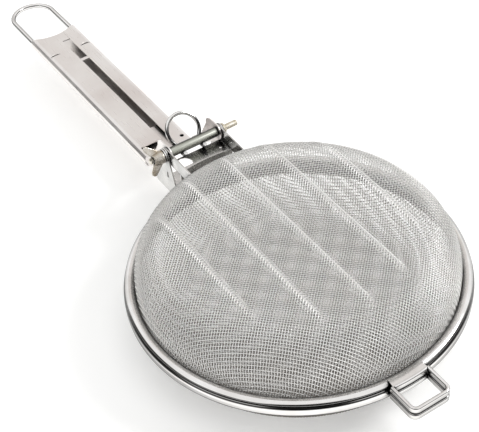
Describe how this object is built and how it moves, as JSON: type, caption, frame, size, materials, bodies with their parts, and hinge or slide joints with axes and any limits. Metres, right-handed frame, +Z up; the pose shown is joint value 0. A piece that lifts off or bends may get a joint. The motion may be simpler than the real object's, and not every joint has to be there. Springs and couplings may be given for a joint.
{
  "type": "double sieve strainer",
  "caption": "Hand-held double sieve: shallow wire-mesh bowls, rim to rim, hinged at one end with a folding sheet-metal handle, wing nut, finger ring and front ears.",
  "frame": {"origin": "centre of the flat base of the lower mesh bowl, where the object rests", "axes": "+Z up; +X from the hinge to the front ears, so the handle runs along -X; +Y along the hinge bolt, away from the wing nut"},
  "size_m": [0.478, 0.2, 0.0685],
  "materials": {
    "woven_mesh": "woven wire, satin",
    "polished_steel": "polished",
    "satin_steel": "satin",
    "plated_nut": "cast and plated",
    "yellow_zinc": "yellow zinc plate, threaded end"
  },
  "bodies": {
    "bowl": {"lower_mesh_bowl": "woven_mesh", "lower_rim": "polished_steel", "lower_ear": "polished_steel", "bowl_bracket": "polished_steel", "hinge_sleeve": "polished_steel", "pivot_bolt": "yellow_zinc", "nut_washer": "polished_steel"},
    "lid": {"upper_mesh_dome": "woven_mesh", "upper_rim": "polished_steel", "upper_ear": "polished_steel", "lid_bracket": "polished_steel"},
    "handle": {"handle_tube": "satin_steel", "handle_fork": "satin_steel", "hanging_loop": "polished_steel", "fork_rivet_near": "polished_steel", "fork_rivet_far": "polished_steel"},
    "wing_nut": {"wing_nut": "plated_nut"},
    "finger_ring": {"finger_ring": "polished_steel"}
  },
  "joints": [
    {"name": "lid_hinge", "type": "hinge", "parent": "bowl", "child": "lid", "pos_m": [-0.1095, 0, 0.0544], "axis": [0, -1, 0], "range_deg": [0, 100]},
    {"name": "handle_fold", "type": "hinge", "parent": "bowl", "child": "handle", "pos_m": [-0.1095, 0, 0.0544], "axis": [0, 1, 0], "range_deg": [0, 60]},
    {"name": "wing_nut_turn", "type": "hinge", "parent": "bowl", "child": "wing_nut", "pos_m": [-0.1095, 0, 0.0544], "axis": [0, -1, 0], "continuous": true},
    {"name": "ring_flip", "type": "hinge", "parent": "lid", "child": "finger_ring", "pos_m": [-0.1095, 0, 0.0544], "axis": [0, -1, 0], "range_deg": [-90, 20]}
  ]
}
